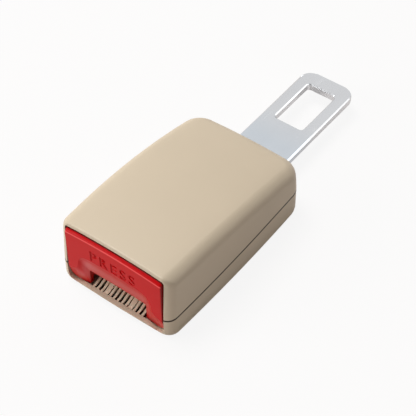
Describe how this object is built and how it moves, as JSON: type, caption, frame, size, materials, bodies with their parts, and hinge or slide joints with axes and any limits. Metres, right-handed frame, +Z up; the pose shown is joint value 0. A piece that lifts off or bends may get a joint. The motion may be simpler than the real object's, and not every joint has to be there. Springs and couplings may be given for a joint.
{
  "type": "seat belt extender",
  "caption": "Buckle housing with a red push button and a sprung latch inside, and a flat steel tongue with a window at its other end.",
  "frame": {"origin": "on the flat underside, halfway along the housing, on its centre line", "axes": "+X across the housing, +Y from the button towards the tongue, +Z up"},
  "size_m": [0.0462, 0.1232, 0.0281],
  "materials": {
    "beige_housing": "satin, fine moulded texture",
    "red_button": "semi-gloss",
    "plated_steel": "bright plated, smooth edges",
    "zinc_plated_steel": "zinc plated stamping",
    "spring_steel": "drawn wire",
    "black_slider": "satin"
  },
  "bodies": {
    "housing": {"upper_cover": "beige_housing", "lower_cover": "beige_housing", "tongue_plate": "plated_steel", "latch_frame": "zinc_plated_steel", "latch_pin": "zinc_plated_steel", "pin_clip": "spring_steel", "rivet_left": "zinc_plated_steel", "rivet_right": "zinc_plated_steel"},
    "button": {"press_button": "red_button", "button_spring_left": "spring_steel", "button_spring_right": "spring_steel"},
    "latch": {"latch": "zinc_plated_steel", "latch_spring": "spring_steel"},
    "ejector": {"ejector": "black_slider", "ejector_spring": "spring_steel"}
  },
  "joints": [
    {"name": "button_press", "type": "slide", "parent": "housing", "child": "button", "axis": [0, 1, 0], "range_m": [0, 0.0055], "stiffness_N_per_m": 400, "springref_m": -0.004, "deforming": ["button_spring_left", "button_spring_right"]},
    {"name": "latch_lift", "type": "hinge", "parent": "housing", "child": "latch", "pos_m": [0, 0.0061, 0.0103], "axis": [-1, 0, 0], "range_deg": [0, 11.6], "deforming": ["latch_spring"]},
    {"name": "ejector_slide", "type": "slide", "parent": "housing", "child": "ejector", "axis": [0, 1, 0], "range_m": [0, 0.008], "stiffness_N_per_m": 250, "springref_m": -0.003, "deforming": ["ejector_spring"]}
  ],
  "couplings": [
    {"joint": "latch_lift", "follows": "button_press", "rad_per_m": 36.364}
  ]
}
